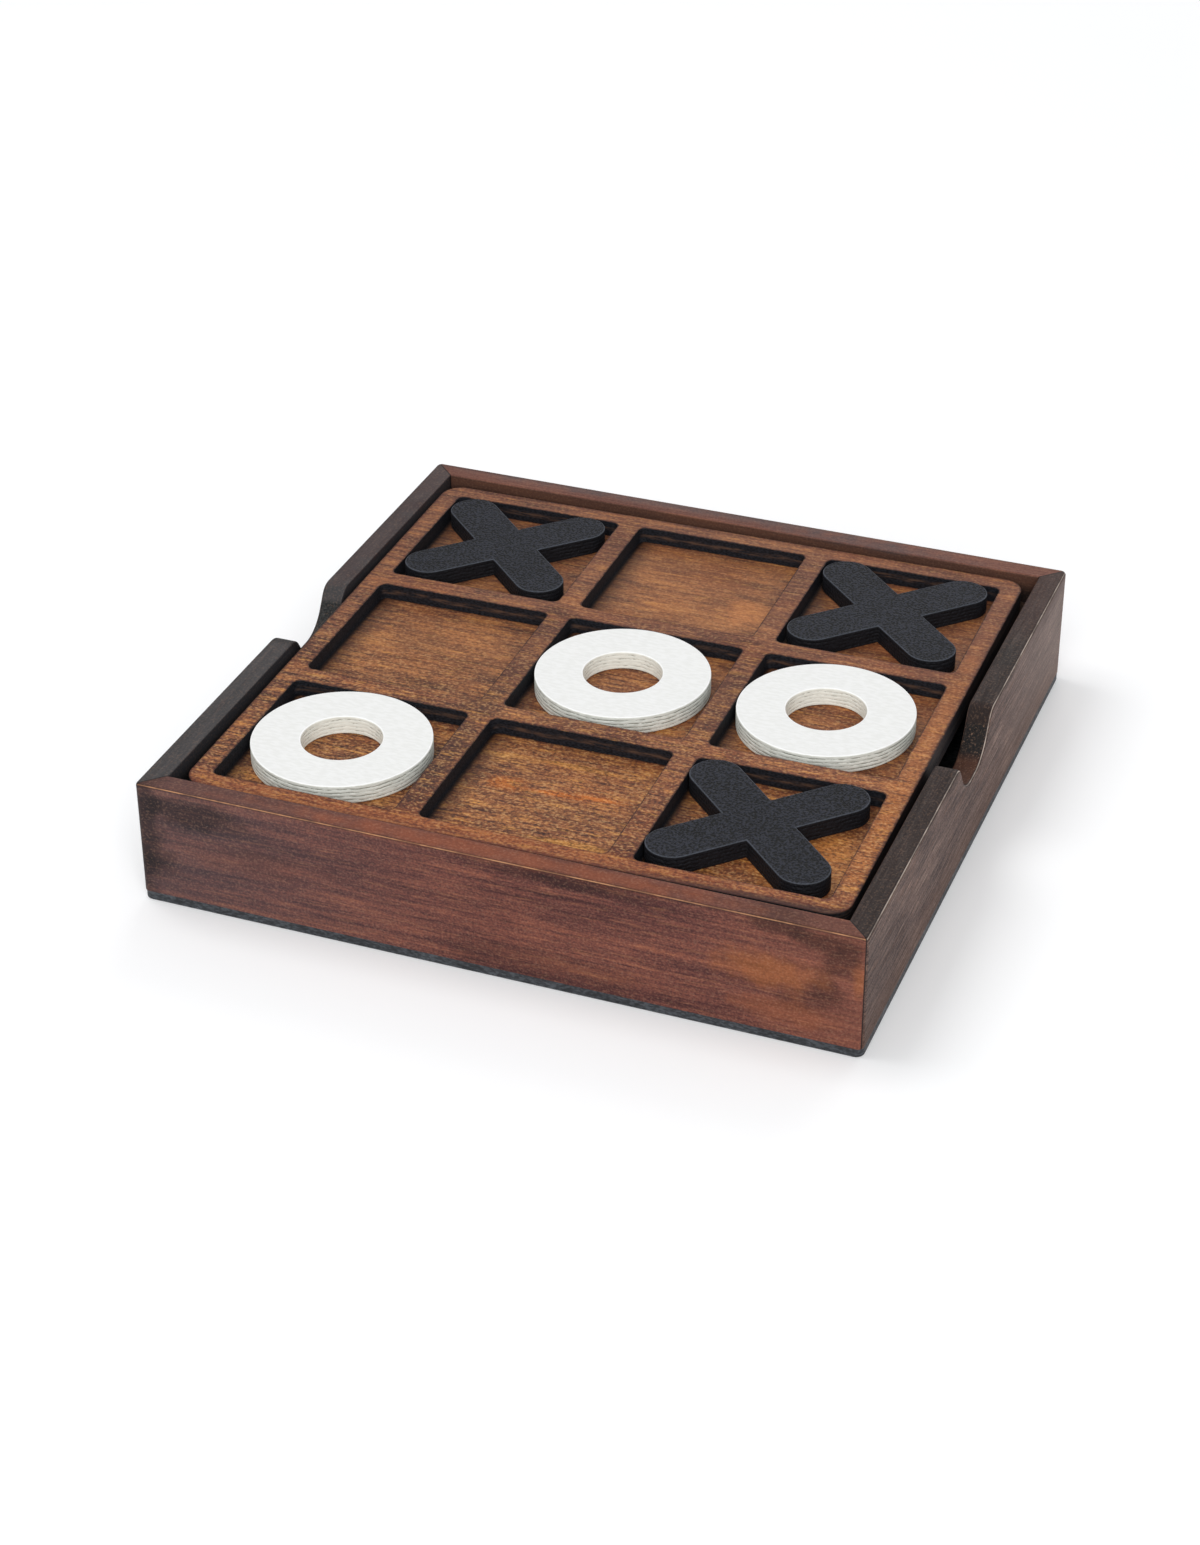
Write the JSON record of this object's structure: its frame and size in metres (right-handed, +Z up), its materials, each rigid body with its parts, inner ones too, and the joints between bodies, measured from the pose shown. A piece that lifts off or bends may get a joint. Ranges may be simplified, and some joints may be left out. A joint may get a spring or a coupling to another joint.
{
  "type": "tic-tac-toe board",
  "caption": "Wooden tic-tac-toe game: a lift-out board with square pockets, white rings and black crosses, in a shallow tray that keeps spare pieces underneath.",
  "frame": {"origin": "centre of the base plate's underside, where the tray rests on a table", "axes": "+Z up through the board, +X to the right and +Y to the back as the game is seen from its front wall"},
  "size_m": [0.19, 0.19, 0.0343],
  "materials": {
    "tray_wood": "satin",
    "base_wood": "matte",
    "post_wood": "matte",
    "board_wood": "satin",
    "floor_wood": "satin",
    "white_paint": "painted matte",
    "black_paint": "painted matte"
  },
  "bodies": {
    "tray": {"base_plate": "base_wood", "tray_wall_front": "tray_wood", "tray_wall_right": "tray_wood", "tray_wall_back": "tray_wood", "tray_wall_left": "tray_wood", "corner_post_front_left": "post_wood", "corner_post_front_right": "post_wood", "corner_post_back_left": "post_wood", "corner_post_back_right": "post_wood"},
    "board": {"board_floor": "floor_wood", "board_grid": "board_wood"},
    "ring_front_left": {"ring_front_left": "white_paint"},
    "ring_centre": {"ring_centre": "white_paint"},
    "ring_middle_right": {"ring_middle_right": "white_paint"},
    "ring_spare_front": {"ring_spare_front": "white_paint"},
    "ring_spare_back": {"ring_spare_back": "white_paint"},
    "cross_back_left": {"cross_back_left": "black_paint"},
    "cross_back_right": {"cross_back_right": "black_paint"},
    "cross_front_right": {"cross_front_right": "black_paint"},
    "cross_spare_front": {"cross_spare_front": "black_paint"},
    "cross_spare_back": {"cross_spare_back": "black_paint"}
  },
  "joints": [
    {"name": "board_lift", "type": "slide", "parent": "tray", "child": "board", "axis": [0, 0, 1], "range_m": [0, 0.06]},
    {"name": "ring_front_left_lift", "type": "slide", "parent": "board", "child": "ring_front_left", "axis": [0, 0, 1], "range_m": [0, 0.03]},
    {"name": "ring_centre_lift", "type": "slide", "parent": "board", "child": "ring_centre", "axis": [0, 0, 1], "range_m": [0, 0.03]},
    {"name": "ring_middle_right_lift", "type": "slide", "parent": "board", "child": "ring_middle_right", "axis": [0, 0, 1], "range_m": [0, 0.03]},
    {"name": "cross_back_left_lift", "type": "slide", "parent": "board", "child": "cross_back_left", "axis": [0, 0, 1], "range_m": [0, 0.03]},
    {"name": "cross_back_right_lift", "type": "slide", "parent": "board", "child": "cross_back_right", "axis": [0, 0, 1], "range_m": [0, 0.03]},
    {"name": "cross_front_right_lift", "type": "slide", "parent": "board", "child": "cross_front_right", "axis": [0, 0, 1], "range_m": [0, 0.03]},
    {"name": "ring_spare_front_lift", "type": "slide", "parent": "tray", "child": "ring_spare_front", "axis": [0, 0, 1], "range_m": [0, 0.017]},
    {"name": "ring_spare_back_lift", "type": "slide", "parent": "tray", "child": "ring_spare_back", "axis": [0, 0, 1], "range_m": [0, 0.017]},
    {"name": "cross_spare_front_lift", "type": "slide", "parent": "tray", "child": "cross_spare_front", "axis": [0, 0, 1], "range_m": [0, 0.017]},
    {"name": "cross_spare_back_lift", "type": "slide", "parent": "tray", "child": "cross_spare_back", "axis": [0, 0, 1], "range_m": [0, 0.017]}
  ]
}
